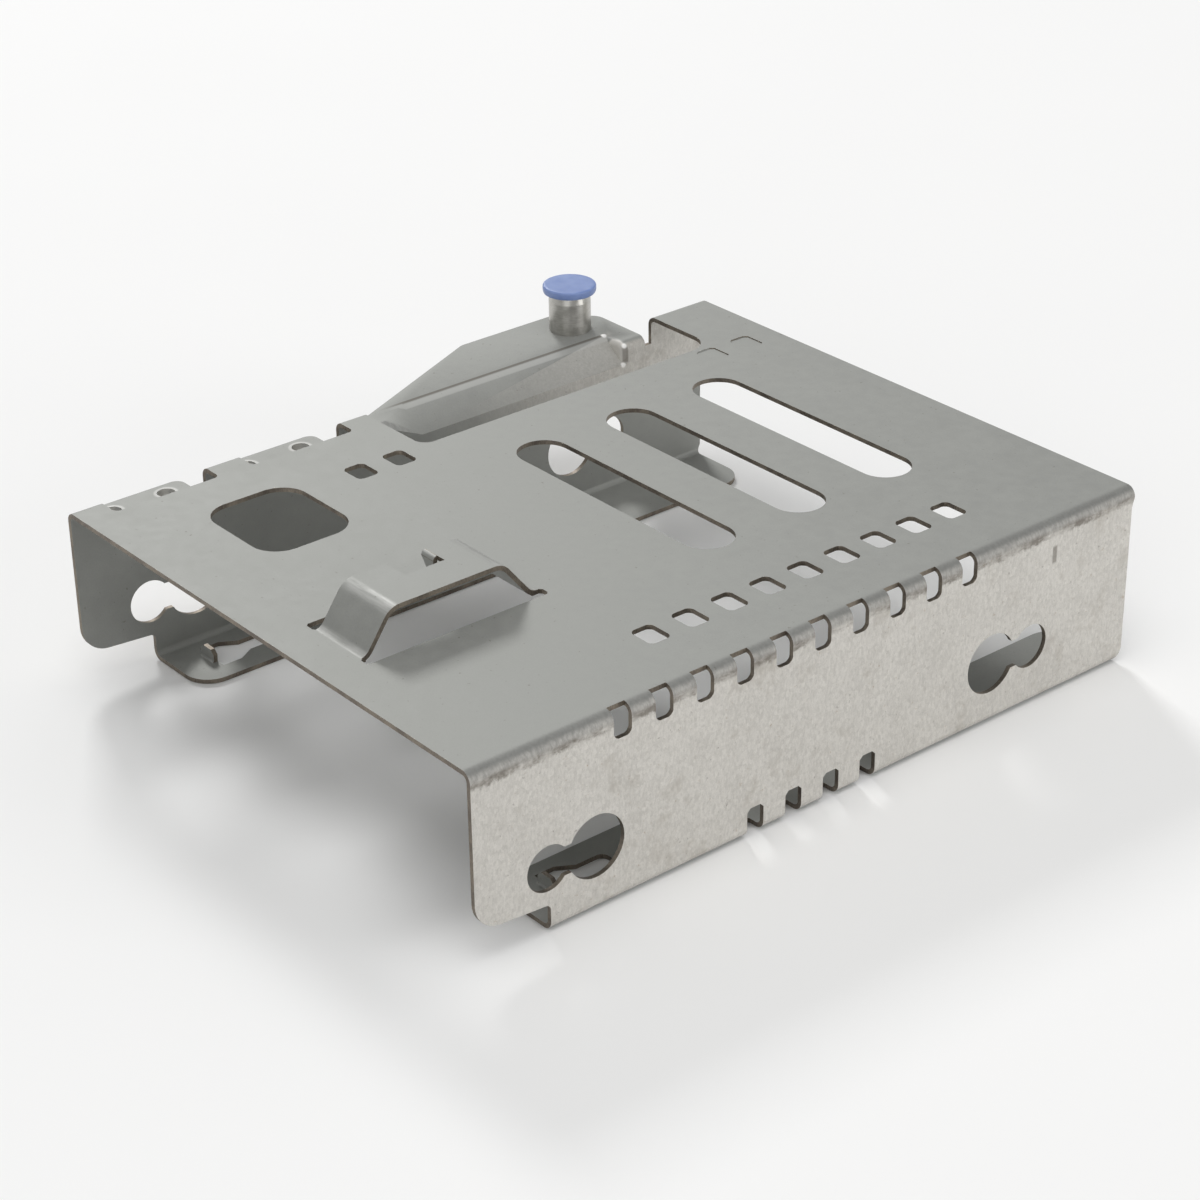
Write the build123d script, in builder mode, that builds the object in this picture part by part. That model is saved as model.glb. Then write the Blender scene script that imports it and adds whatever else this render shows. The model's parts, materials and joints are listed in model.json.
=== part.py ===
from build123d import *
from math import atan2, radians, tan
import os

# Hard drive caddy: one folded sheet of zinc-coated steel that hangs a 3.5 inch
# drive between two side walls, with a sprung locking pin on a wing at its left.
# Millimetres, +Z up, +Y from the front edge to the back edge, +X to the right.
# The origin is the centre of the footprint, on the plane that the flanges rest on.

# Sheet
SHEET = 0.8
BEND = 1.8
BEND_INSIDE = BEND - SHEET
THROUGH = 1.0

# Channel
WIDTH = 109.4
LENGTH = 139.0
HEIGHT = 32.7
FLANGE = 15.0
FLANGE_CORNER = 5.0
FLANGE_START = 13.8
FLANGE_BACK_STEP = 1.3
WALL_BACK_STEP = 0.5
WALL_BACK_RISE = 2.4
FOOT_FRONT_Z = 5.9
FOOT_CORNER = 5.0
FOOT_BACK_Z = 4.9
FOOT_RELIEF = 1.0

# Wing and its pin
WING_REACH = 19.0
WING_TOP = 29.0
WING_START = 62.2
WING_END = 124.6
WING_NOSE = 3.9
WING_FULL = 96.0
WING_CORNER = 3.0
WING_CHAMFER_IN = 6.0
WING_CHAMFER_BACK = 6.6
WING_ROOT = 2.6
BEVEL_IN = 5.0
BEVEL_WALL_Z = 24.8
BEVEL_FADE_START = 64.5
BEVEL_FADE_SHARE = 0.2
BEVEL_START = 72.0
BEVEL_END = 119.2
BEVEL_END_ROUND = 1.2

# Tabs on the left wall
TAB_TOP = 28.0
TAB_REACH = 6.65
TAB_CORNER = 1.8
TAB_STARTS = (6.7, 33.8)
TAB_LENGTHS = (18.8, 19.4)
TAB_HOLE_RADIUS = 1.6
TAB_HOLE_OUT = 3.6
TAB_HOLE_FRONT = 3.7
TAB_HOLE_BACK = 4.5
BURR_WALL = 0.45
BURR_DROP = 1.6

# Notches that the tabs and the wing were folded out of
TAB_RELIEF = 0.8
TAB_NOTCH_IN = 5.5
WING_NOTCH_START = 59.6
WING_NOTCH_END = 126.1
WING_NOTCH_IN = 18.1
WING_NOTCH_FRONT_CORNER = 2.5
WING_NOTCH_BACK_CORNER = 5.0

# Small punched openings: a round corner is drawn as three flats, a hidden or tiny one as one
PUNCH_CORNER = 1.1
SLIT_FLAT = 0.45
PUNCH_FIRST_FLAT = 0.6 * PUNCH_CORNER
PUNCH_END_FLATS = 0.2 * PUNCH_CORNER

# Top plate openings
WINDOW_LEFT = 14.95
WINDOW_START = 16.0
WINDOW_WIDTH = 21.05
WINDOW_LENGTH = 17.8
WINDOW_CORNER = 5.1
LONG_SLOT_LEFT = 29.3
LONG_SLOT_LENGTH = 51.4
LONG_SLOT_RADIUS = 4.75
LONG_SLOT_START = 73.6
LONG_SLOT_PITCH = 20.0
LONG_SLOT_COUNT = 3
SQUARE_IN = 14.4
SQUARE_START = 45.5
SQUARE_WIDTH = 5.3
SQUARE_LENGTH = 4.2
SQUARE_COUNT = 9
VENT_PITCH = 8.0
SMALL_PAIR_IN = 19.6
SMALL_PAIR_COUNT = 2
BEND_SLOT_START = 27.9
BEND_SLOT_WIDTH = 3.4
BEND_SLOT_COUNT = 10
BEND_SLOT_IN = 1.7
BEND_SLOT_DOWN = 4.7
DIMPLE_IN = 21.7
DIMPLE_STARTS = (123.1, 131.4)
DIMPLE_WIDTH = 5.2
DIMPLE_LENGTH = 4.3
DIMPLE_DEPTH = 0.2

# Raised strap
STRAP_OPENING_LEFT = 58.2
STRAP_OPENING_WIDTH = 16.4
STRAP_OPENING_START = 7.5
STRAP_OPENING_END = 42.2
STRAP_LEFT_SLIT = 2.4
STRAP_RIGHT_SLIT = 2.1
STRAP_RISE = 6.8
STRAP_FOOT_FRONT = 8.6
STRAP_TOP_FRONT = 13.4
STRAP_TOP_BACK = 35.0
STRAP_FOOT_BACK = 40.4
STRAP_FOOT_BEND = 2.2
STRAP_TOP_BEND = 3.6
STRAP_ANCHOR = 2.0
STRAP_CUT_START = 21.4
STRAP_CUT_IN = 5.0
TOOTH_WIDTH = 3.0
TOOTH_LENGTH = 5.7
TOOTH_ROOT = 0.6
TOOTH_TIP_WIDTH = 0.4

# Side wall keyholes, each a wide lobe and a narrow one joined by a throat
KEY_Z = 11.3
KEY_LARGE_RADIUS = 5.36
KEY_SMALL_RADIUS = 3.92
KEY_SMALL_START = 13.5
DRIVE_SCREW_SPACING = 101.6
KEY_LOBE_SPACING = 9.1
KEY_THROAT = 5.0

# Slots over the bottom bends
LOW_SLOT_START = 54.3
LOW_SLOT_COUNT = 4
LOW_SLOT_WALL = 5.2
LOW_SLOT_FLANGE = 3.8

# Flange holes
FLANGE_HOLES_LEFT = 7.65
FLANGE_HOLES_RIGHT = 8.7
BOTTLE_START = 20.5
BOTTLE_WIDTH = 7.5
BOTTLE_SHOULDER = 24.2
BOTTLE_NECK_START = 27.2
BOTTLE_NECK = 3.9
BOTTLE_END = 32.5
BOTTLE_CORNER = 1.4
HOOK_RISE = 3.0
HOOK_CORNER = 0.8
HOOK_ROOT = 2.0
KEYHOLE_HEAD = 96.6
KEYHOLE_HEAD_RADIUS = 3.55
KEYHOLE_NECK = 3.7
KEYHOLE_END = 107.9

# Locking pin: barrel, pin, knob and spring on one upright axis
PIN_OUT = 11.85
PIN_BACK = 116.6
PIN_RADIUS = 2.15
PIN_BELOW = 3.8
PIN_CHAMFER = 0.7
PIN_RUNNING = 0.05
COLLAR_RADIUS = 2.95
COLLAR = 0.6
STEM_RADIUS = 1.5
STEM_RUNNING = 0.1
BARREL_RADIUS = 4.0
BARREL_HEIGHT = 7.6
BARREL_RIM = 0.6
BARREL_TAPER = 1.5
BARREL_TAPER_IN = 0.35
CHAMBER_RADIUS = 3.2
CHAMBER_FLOOR = 0.2
SPIGOT_RADIUS = 3.0
FLARE_RADIUS = 3.6
FLARE = 0.4
FUNNEL_RADIUS = 2.8
FUNNEL = 0.5
KNOB_RADIUS = 5.1
KNOB_HEIGHT = 1.5
KNOB_GAP = 0.1
KNOB_RIM = 0.6
KNOB_WAIST = 4.2
KNOB_EDGE = 0.35
STEM_IN_KNOB = 0.9
SPRING_WIRE = 0.32
SPRING_TURNS = 2.5
SPRING_SIDES = 4
SPRING_RADIUS = 2.45
SPRING_SEAT = 0.02

# Places that follow from the sizes
BOX_WIDTH = WIDTH + WING_REACH
LEFT = WING_REACH - BOX_WIDTH / 2
RIGHT = LEFT + WIDTH
FRONT = -LENGTH / 2
BACK = LENGTH / 2
PIN_X = LEFT - PIN_OUT
PIN_Y = FRONT + PIN_BACK
WING_UNDER = WING_TOP - SHEET
TAB_UNDER = TAB_TOP - SHEET
ROOT_Z = BEVEL_WALL_Z - WING_ROOT


def one_flat(width: float, length: float, flat: float) -> Sketch:
    """Rectangle whose corners are each cut off by one flat."""
    with BuildSketch() as opening:
        Rectangle(width, length)
        chamfer(opening.vertices(), flat)
    return opening.sketch


def punched(width: float, length: float) -> Sketch:
    """Outline of a small punched opening, its round corners drawn as three flats each."""
    with BuildSketch() as opening:
        add(one_flat(width, length, PUNCH_FIRST_FLAT))
        chamfer(opening.vertices(), PUNCH_END_FLATS)
    return opening.sketch


def fold_section(reach: float, root: float, top: float) -> Sketch:
    """Section of sheet that leaves the left wall and turns outwards through a right angle."""
    with BuildSketch(Plane.XZ) as section:
        with BuildLine():
            FilletPolyline(
                (LEFT, root),
                (LEFT, top - SHEET),
                (LEFT - reach, top - SHEET),
                (LEFT - reach, top),
                (LEFT + SHEET, top),
                (LEFT + SHEET, root),
                radius=(0, BEND_INSIDE, 0, 0, BEND, 0),
                close=True,
            )
        make_face()
    return section.sketch


def bevel_triangle(inset: float, share: float) -> Sketch:
    """Corner that the bevel takes off the fold, as a share of its full size."""
    lower_turn = atan2(BEVEL_IN + SHEET, WING_TOP - BEVEL_WALL_Z)
    upper_turn = radians(90) - lower_turn
    corner = Vector(LEFT + SHEET - inset, WING_TOP - inset)
    low = Vector(LEFT + SHEET - inset, BEVEL_WALL_Z - inset * tan(lower_turn / 2))
    high = Vector(LEFT - BEVEL_IN - inset * tan(upper_turn / 2), WING_TOP - inset)
    with BuildSketch(Plane.XZ) as section:
        with BuildLine():
            Polyline(
                corner,
                corner + (high - corner) * share,
                corner + (low - corner) * share,
                close=True,
            )
        make_face()
    return section.sketch


def at_depth(y: float) -> Plane:
    """Upright plane across the caddy, facing the front, at a distance behind the front edge."""
    return Plane.XZ.offset(-(FRONT + y))


def under_fold(inset: float, past: float) -> Part:
    """Solid below the fold's surface, its corner pressed in by a bevel with a closed end."""
    right, top = LEFT + SHEET - inset, WING_TOP - inset
    left, low = LEFT - WING_REACH - past, ROOT_Z - past
    bevel_end = BEVEL_END + inset
    with BuildPart() as under:
        with BuildSketch(at_depth(WING_END + past)):
            with BuildLine():
                FilletPolyline(
                    (right, top),
                    (left, top),
                    (left, low),
                    (right, low),
                    radius=(BEND - inset, 0, 0, 0),
                    close=True,
                )
            make_face()
        extrude(amount=WING_END - WING_START + 2 * past)
        with BuildSketch(at_depth(BEVEL_FADE_START)):
            add(bevel_triangle(inset, BEVEL_FADE_SHARE))
        with BuildSketch(at_depth(BEVEL_START)):
            add(bevel_triangle(inset, 1.0))
        loft(ruled=True, mode=Mode.SUBTRACT)
        with BuildSketch(at_depth(bevel_end)):
            add(bevel_triangle(inset, 1.0))
        extrude(amount=bevel_end - BEVEL_START, mode=Mode.SUBTRACT)
        end_face = under.faces().filter_by(Axis.Y).filter_by_position(
            Axis.Y, FRONT + bevel_end - SHEET / 2, FRONT + bevel_end + SHEET / 2
        )[0]
        rims = end_face.edges()
        straight = rims.filter_by(Axis.X) + rims.filter_by(Axis.Z)
        fillet(straight + rims.filter_by(GeomType.CIRCLE), BEVEL_END_ROUND - inset)
    return under.part


# Wing blank: the fold's outer surface less its inner one, cut to the wing's outline
with BuildPart() as wing:
    add(under_fold(0.0, 0.0))
    add(under_fold(SHEET, THROUGH), mode=Mode.SUBTRACT)
    with BuildSketch(Plane.XY.offset(ROOT_Z - THROUGH)):
        with BuildLine():
            FilletPolyline(
                (LEFT + SHEET + THROUGH, FRONT + WING_START),
                (LEFT - WING_NOSE, FRONT + WING_START),
                (LEFT - WING_REACH, FRONT + WING_FULL),
                (LEFT - WING_REACH, FRONT + WING_END - WING_CHAMFER_BACK),
                (LEFT - WING_REACH + WING_CHAMFER_IN, FRONT + WING_END),
                (LEFT + SHEET + THROUGH, FRONT + WING_END),
                radius=(0, WING_CORNER, WING_CORNER, WING_CORNER, WING_CORNER, 0),
                close=True,
            )
        make_face()
    extrude(amount=WING_TOP - ROOT_Z + 2 * THROUGH, mode=Mode.INTERSECT)
    with BuildSketch(Plane.XY.offset(WING_UNDER - THROUGH)):
        with Locations((PIN_X, PIN_Y)):
            Circle(SPIGOT_RADIUS)
    extrude(amount=SHEET + 2 * THROUGH, mode=Mode.SUBTRACT)


def tab_blank(start: float, length: float) -> Part:
    """One outward tab with two pierced holes whose burrs hang below it."""
    hole_x = LEFT - TAB_HOLE_OUT
    hole_ys = (FRONT + start + TAB_HOLE_FRONT, FRONT + start + length - TAB_HOLE_BACK)
    holes = [(hole_x, y) for y in hole_ys]
    with BuildPart() as tab:
        with BuildSketch(at_depth(start + length)):
            add(fold_section(TAB_REACH, TAB_UNDER - BEND, TAB_TOP))
        extrude(amount=length)
        outer = tab.edges().filter_by(Axis.Z).group_by(Axis.X)[0]
        fillet(outer, TAB_CORNER)
        with BuildSketch(Plane.XY.offset(TAB_UNDER - BURR_DROP)):
            with Locations(*holes):
                Circle(TAB_HOLE_RADIUS + BURR_WALL)
        extrude(amount=BURR_DROP)
        with BuildSketch(Plane.XY.offset(TAB_UNDER - BURR_DROP - THROUGH)):
            with Locations(*holes):
                Circle(TAB_HOLE_RADIUS)
        extrude(amount=BURR_DROP + SHEET + 2 * THROUGH, mode=Mode.SUBTRACT)
    return tab.part


tabs = [tab_blank(start, length) for start, length in zip(TAB_STARTS, TAB_LENGTHS)]

# Raised strap with the cut-out at its back left
STRAP_LEFT = LEFT + STRAP_OPENING_LEFT + STRAP_LEFT_SLIT
STRAP_WIDTH = STRAP_OPENING_WIDTH - STRAP_LEFT_SLIT - STRAP_RIGHT_SLIT
with BuildPart() as strap:
    with BuildSketch(Plane.YZ.offset(STRAP_LEFT)):
        with BuildLine() as strap_line:
            FilletPolyline(
                (FRONT + STRAP_OPENING_START - STRAP_ANCHOR, HEIGHT),
                (FRONT + STRAP_FOOT_FRONT, HEIGHT),
                (FRONT + STRAP_TOP_FRONT, HEIGHT + STRAP_RISE),
                (FRONT + STRAP_TOP_BACK, HEIGHT + STRAP_RISE),
                (FRONT + STRAP_FOOT_BACK, HEIGHT),
                (FRONT + STRAP_OPENING_END + STRAP_ANCHOR, HEIGHT),
                radius=(STRAP_FOOT_BEND, STRAP_TOP_BEND, STRAP_TOP_BEND, STRAP_FOOT_BEND),
            )
            offset(amount=SHEET, side=Side.RIGHT)
        make_face()
    extrude(amount=STRAP_WIDTH)
    with BuildSketch(Plane.XY.offset(HEIGHT - SHEET - THROUGH)):
        with Locations((STRAP_LEFT - THROUGH, FRONT + STRAP_CUT_START)):
            Rectangle(
                STRAP_CUT_IN + THROUGH,
                STRAP_FOOT_BACK - STRAP_CUT_START,
                align=(Align.MIN, Align.MIN),
            )
    extrude(amount=STRAP_RISE + SHEET + 2 * THROUGH, mode=Mode.SUBTRACT)
    with BuildSketch(Plane.XY.offset(HEIGHT - SHEET)):
        with BuildLine():
            Polyline(
                (STRAP_LEFT, FRONT + STRAP_FOOT_BACK),
                (STRAP_LEFT, FRONT + STRAP_FOOT_BACK - TOOTH_ROOT),
                (
                    STRAP_LEFT + TOOTH_WIDTH - TOOTH_TIP_WIDTH,
                    FRONT + STRAP_FOOT_BACK - TOOTH_LENGTH,
                ),
                (STRAP_LEFT + TOOTH_WIDTH, FRONT + STRAP_FOOT_BACK - TOOTH_LENGTH),
                (STRAP_LEFT + TOOTH_WIDTH, FRONT + STRAP_FOOT_BACK),
                close=True,
            )
        make_face()
    extrude(amount=SHEET)

# The folded sheet
with BuildPart() as bracket:
    # Channel section, drawn at the back and run to the front
    with BuildSketch(at_depth(LENGTH)):
        with BuildLine():
            FilletPolyline(
                (LEFT + FLANGE, 0),
                (LEFT, 0),
                (LEFT, HEIGHT),
                (RIGHT, HEIGHT),
                (RIGHT, 0),
                (RIGHT - FLANGE, 0),
                (RIGHT - FLANGE, SHEET),
                (RIGHT - SHEET, SHEET),
                (RIGHT - SHEET, HEIGHT - SHEET),
                (LEFT + SHEET, HEIGHT - SHEET),
                (LEFT + SHEET, SHEET),
                (LEFT + FLANGE, SHEET),
                radius=(0,) + (BEND,) * 4 + (0, 0) + (BEND_INSIDE,) * 4 + (0,),
                close=True,
            )
        make_face()
    extrude(amount=LENGTH)

    # Side outline of walls and flanges
    with BuildSketch(Plane.YZ.offset(LEFT - THROUGH)):
        with BuildLine():
            FilletPolyline(
                (FRONT, HEIGHT + THROUGH),
                (FRONT, FOOT_FRONT_Z),
                (FRONT + FLANGE_START, FOOT_BACK_Z),
                (FRONT + FLANGE_START, -THROUGH),
                (BACK - FLANGE_BACK_STEP, -THROUGH),
                (BACK - FLANGE_BACK_STEP, SHEET),
                (BACK - WALL_BACK_STEP, WALL_BACK_RISE),
                (BACK - WALL_BACK_STEP, HEIGHT - 2 * BEND),
                (BACK, HEIGHT - BEND),
                (BACK, HEIGHT + THROUGH),
                radius=(0, FOOT_CORNER, FOOT_RELIEF, 0, 0, 0, FOOT_RELIEF, 0, 0, 0),
                close=True,
            )
        make_face()
    extrude(amount=WIDTH + 2 * THROUGH, mode=Mode.INTERSECT)
    flange_edges = bracket.edges().filter_by(Axis.Z).filter_by_position(
        Axis.X, LEFT + FLANGE - SHEET, RIGHT - FLANGE + SHEET
    ).filter_by_position(Axis.Z, 0, SHEET)
    fillet(flange_edges, FLANGE_CORNER)

    # Keyholes through both side walls
    with BuildSketch(Plane.YZ.offset(LEFT - THROUGH)):
        for way in (1, -1):
            small_y = FRONT + KEY_SMALL_START + (DRIVE_SCREW_SPACING if way < 0 else 0)
            with Locations((small_y, KEY_Z)):
                Circle(KEY_SMALL_RADIUS)
            with Locations((small_y + way * KEY_LOBE_SPACING, KEY_Z)):
                Circle(KEY_LARGE_RADIUS)
            with Locations((small_y + way * KEY_LOBE_SPACING / 2, KEY_Z)):
                Rectangle(KEY_LOBE_SPACING, KEY_THROAT)
    extrude(amount=WIDTH + 2 * THROUGH, mode=Mode.SUBTRACT)

    # Slots that wrap the bottom bends
    low_slot_ys = [FRONT + LOW_SLOT_START + VENT_PITCH * i for i in range(LOW_SLOT_COUNT)]
    for wall_face, inwards in ((LEFT, 1), (RIGHT, -1)):
        with BuildSketch(Plane.YZ.offset(wall_face)):
            with Locations(*[(y, 0) for y in low_slot_ys]):
                add(one_flat(BEND_SLOT_WIDTH, 2 * LOW_SLOT_WALL, PUNCH_FIRST_FLAT))
        extrude(amount=inwards * BEND, mode=Mode.SUBTRACT)
        with BuildSketch(Plane.XY):
            with Locations(*[(wall_face, y) for y in low_slot_ys]):
                add(one_flat(2 * LOW_SLOT_FLANGE, BEND_SLOT_WIDTH, PUNCH_FIRST_FLAT))
        extrude(amount=BEND, mode=Mode.SUBTRACT)

    # Slots that wrap the top right bend
    bend_slot_ys = [FRONT + BEND_SLOT_START + VENT_PITCH * i for i in range(BEND_SLOT_COUNT)]
    with BuildSketch(Plane.YZ.offset(RIGHT - BEND)):
        with Locations(*[(y, HEIGHT) for y in bend_slot_ys]):
            add(punched(BEND_SLOT_WIDTH, 2 * BEND_SLOT_DOWN))
    extrude(amount=BEND, mode=Mode.SUBTRACT)
    with BuildSketch(Plane.XY.offset(HEIGHT - BEND)):
        with Locations(*[(RIGHT, y) for y in bend_slot_ys]):
            add(punched(2 * BEND_SLOT_IN, BEND_SLOT_WIDTH))
    extrude(amount=BEND, mode=Mode.SUBTRACT)

    # Openings in the top plate
    square_ys = [FRONT + SQUARE_START + VENT_PITCH * i for i in range(SQUARE_COUNT)]
    with BuildSketch(Plane.XY.offset(HEIGHT - SHEET - THROUGH)):
        with Locations((LEFT + WINDOW_LEFT, FRONT + WINDOW_START)):
            RectangleRounded(
                WINDOW_WIDTH, WINDOW_LENGTH, WINDOW_CORNER, align=(Align.MIN, Align.MIN)
            )
        for i in range(LONG_SLOT_COUNT):
            slot_y = FRONT + LONG_SLOT_START + LONG_SLOT_PITCH * i
            with Locations((LEFT + LONG_SLOT_LEFT + LONG_SLOT_LENGTH / 2, slot_y)):
                SlotOverall(LONG_SLOT_LENGTH, 2 * LONG_SLOT_RADIUS)
        with Locations(*[(RIGHT - SQUARE_IN, y) for y in square_ys]):
            add(punched(SQUARE_WIDTH, SQUARE_LENGTH))
        with Locations(*[(LEFT + SMALL_PAIR_IN, y) for y in square_ys[:SMALL_PAIR_COUNT]]):
            add(punched(SQUARE_WIDTH, SQUARE_LENGTH))
    extrude(amount=SHEET + 2 * THROUGH, mode=Mode.SUBTRACT)

    # Opening under the strap: two slits and the gap between its feet
    strap_length = STRAP_OPENING_END - STRAP_OPENING_START
    strap_middle = FRONT + (STRAP_OPENING_START + STRAP_OPENING_END) / 2
    with BuildSketch(Plane.XY.offset(HEIGHT - SHEET - THROUGH)):
        with Locations((STRAP_LEFT - STRAP_LEFT_SLIT / 2, strap_middle)):
            add(one_flat(STRAP_LEFT_SLIT, strap_length, SLIT_FLAT))
        with Locations((STRAP_LEFT + STRAP_WIDTH + STRAP_RIGHT_SLIT / 2, strap_middle)):
            add(one_flat(STRAP_RIGHT_SLIT, strap_length, SLIT_FLAT))
        with Locations((STRAP_LEFT, FRONT + STRAP_FOOT_FRONT)):
            Rectangle(
                STRAP_WIDTH, STRAP_FOOT_BACK - STRAP_FOOT_FRONT, align=(Align.MIN, Align.MIN)
            )
    extrude(amount=SHEET + 2 * THROUGH, mode=Mode.SUBTRACT)
    add(strap.part)

    # Shallow dimples at the back left
    with BuildSketch(Plane.XY.offset(HEIGHT - DIMPLE_DEPTH)):
        with Locations(*[(LEFT + DIMPLE_IN, FRONT + y) for y in DIMPLE_STARTS]):
            add(one_flat(DIMPLE_WIDTH, DIMPLE_LENGTH, PUNCH_FIRST_FLAT))
    extrude(amount=DIMPLE_DEPTH, mode=Mode.SUBTRACT)

    # Notch and wall under each tab, then the tab itself
    for start, length in zip(TAB_STARTS, TAB_LENGTHS):
        with BuildSketch(Plane.XY.offset(TAB_TOP - BEND)):
            with Locations((LEFT, FRONT + start + length / 2)):
                add(punched(2 * TAB_NOTCH_IN, length + 2 * TAB_RELIEF))
        extrude(amount=HEIGHT, mode=Mode.SUBTRACT)
    add(tabs)

    # Notch and wall under the wing, then the wing itself
    with BuildSketch(Plane.XY.offset(WING_TOP - BEND)):
        with BuildLine():
            FilletPolyline(
                (LEFT - THROUGH, FRONT + WING_NOTCH_START),
                (LEFT + WING_NOTCH_IN, FRONT + WING_NOTCH_START),
                (LEFT + WING_NOTCH_IN, FRONT + WING_NOTCH_END),
                (LEFT - THROUGH, FRONT + WING_NOTCH_END),
                radius=(0, WING_NOTCH_FRONT_CORNER, WING_NOTCH_BACK_CORNER, 0),
                close=True,
            )
        make_face()
    extrude(amount=HEIGHT, mode=Mode.SUBTRACT)
    with BuildSketch(Plane.XY.offset(ROOT_Z)):
        with Locations((LEFT - THROUGH, FRONT + WING_START)):
            Rectangle(
                SHEET + 2 * THROUGH, WING_END - WING_START, align=(Align.MIN, Align.MIN)
            )
    extrude(amount=WING_TOP - ROOT_Z, mode=Mode.SUBTRACT)
    add(wing.part)

    # Holes in the flanges
    with BuildSketch(Plane.XY.offset(-THROUGH)):
        for hole_x in (LEFT + FLANGE_HOLES_LEFT, RIGHT - FLANGE_HOLES_RIGHT):
            with BuildLine():
                FilletPolyline(
                    (hole_x - BOTTLE_WIDTH / 2, FRONT + BOTTLE_START),
                    (hole_x + BOTTLE_WIDTH / 2, FRONT + BOTTLE_START),
                    (hole_x + BOTTLE_WIDTH / 2, FRONT + BOTTLE_SHOULDER),
                    (hole_x + BOTTLE_NECK / 2, FRONT + BOTTLE_NECK_START),
                    (hole_x + BOTTLE_NECK / 2, FRONT + BOTTLE_END),
                    (hole_x - BOTTLE_NECK / 2, FRONT + BOTTLE_END),
                    (hole_x - BOTTLE_NECK / 2, FRONT + BOTTLE_NECK_START),
                    (hole_x - BOTTLE_WIDTH / 2, FRONT + BOTTLE_SHOULDER),
                    radius=(0, 0, 0, 0, BOTTLE_CORNER, BOTTLE_CORNER, 0, 0),
                    close=True,
                )
            make_face()
            with Locations((hole_x, FRONT + KEYHOLE_HEAD)):
                Circle(KEYHOLE_HEAD_RADIUS)
                Rectangle(
                    KEYHOLE_NECK,
                    KEYHOLE_END - KEYHOLE_NECK / 2 - KEYHOLE_HEAD,
                    align=(Align.CENTER, Align.MIN),
                )
            with Locations((hole_x, FRONT + KEYHOLE_END - KEYHOLE_NECK / 2)):
                Circle(KEYHOLE_NECK / 2)
    extrude(amount=SHEET + 2 * THROUGH, mode=Mode.SUBTRACT)

    # Hooks turned up at the front of the bottle-shaped holes
    for hole_x in (LEFT + FLANGE_HOLES_LEFT, RIGHT - FLANGE_HOLES_RIGHT):
        with BuildSketch(Plane.YZ.offset(hole_x - BOTTLE_NECK / 2)):
            with BuildLine():
                FilletPolyline(
                    (FRONT + BOTTLE_START - HOOK_ROOT, 0),
                    (FRONT + BOTTLE_START, 0),
                    (FRONT + BOTTLE_START, HOOK_RISE),
                    (FRONT + BOTTLE_START - SHEET, HOOK_RISE),
                    (FRONT + BOTTLE_START - SHEET, SHEET),
                    (FRONT + BOTTLE_START - HOOK_ROOT, SHEET),
                    radius=(0, SHEET, 0, 0, SHEET / 2, 0),
                    close=True,
                )
            make_face()
        extrude(amount=BOTTLE_NECK)
    hook_corners = bracket.edges().filter_by(Axis.Y).filter_by_position(
        Axis.Z, HOOK_RISE - SHEET / 2, HOOK_RISE + SHEET / 2
    )
    chamfer(hook_corners, HOOK_CORNER)

bracket.part.label = "bracket"

# Plane through the pin's axis, with the axis as its upright
PIN_PLANE = Plane(origin=(PIN_X, PIN_Y, 0), x_dir=(1, 0, 0), z_dir=(0, -1, 0))
PIN_AXIS = Axis((PIN_X, PIN_Y, 0), (0, 0, 1))
FLOOR_Z = WING_TOP + CHAMBER_FLOOR
BARREL_TOP = WING_TOP + BARREL_HEIGHT
RIM_Z = BARREL_TOP - BARREL_RIM
COLLAR_TOP = FLOOR_Z + COLLAR
FLARE_Z = WING_UNDER - FLARE
PIN_TIP = WING_UNDER - PIN_BELOW
KNOB_Z = BARREL_TOP + KNOB_GAP
KNOB_TOP = KNOB_Z + KNOB_HEIGHT
STEM_TOP = KNOB_Z + STEM_IN_KNOB
GUIDE_RADIUS = PIN_RADIUS + PIN_RUNNING

# Barrel: spigot through the wing, flared under it, chamber for the spring above it
with BuildPart() as plunger_sleeve:
    with BuildSketch(PIN_PLANE):
        with BuildLine():
            Polyline(
                (GUIDE_RADIUS, FLARE_Z + FUNNEL),
                (FUNNEL_RADIUS, FLARE_Z),
                (FLARE_RADIUS, FLARE_Z),
                (FLARE_RADIUS, WING_UNDER),
                (SPIGOT_RADIUS, WING_UNDER),
                (SPIGOT_RADIUS, WING_TOP),
                (BARREL_RADIUS, WING_TOP),
                (BARREL_RADIUS, BARREL_TOP - BARREL_TAPER),
                (BARREL_RADIUS - BARREL_TAPER_IN, BARREL_TOP),
                (STEM_RADIUS + STEM_RUNNING, BARREL_TOP),
                (STEM_RADIUS + STEM_RUNNING, RIM_Z),
                (CHAMBER_RADIUS, RIM_Z),
                (CHAMBER_RADIUS, FLOOR_Z),
                (GUIDE_RADIUS, FLOOR_Z),
                close=True,
            )
        make_face()
    revolve(axis=PIN_AXIS)

plunger_sleeve.part.label = "plunger_sleeve"

# Pin: chamfered tip, collar that the spring pushes on, stem up into the knob
with BuildPart() as plunger_pin:
    with BuildSketch(PIN_PLANE):
        with BuildLine():
            Polyline(
                (0, PIN_TIP),
                (PIN_RADIUS - PIN_CHAMFER, PIN_TIP),
                (PIN_RADIUS, PIN_TIP + PIN_CHAMFER),
                (PIN_RADIUS, FLOOR_Z),
                (COLLAR_RADIUS, FLOOR_Z),
                (COLLAR_RADIUS, COLLAR_TOP),
                (STEM_RADIUS, COLLAR_TOP),
                (STEM_RADIUS, STEM_TOP),
                (0, STEM_TOP),
                close=True,
            )
        make_face()
    revolve(axis=PIN_AXIS)

plunger_pin.part.label = "plunger_pin"

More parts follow.
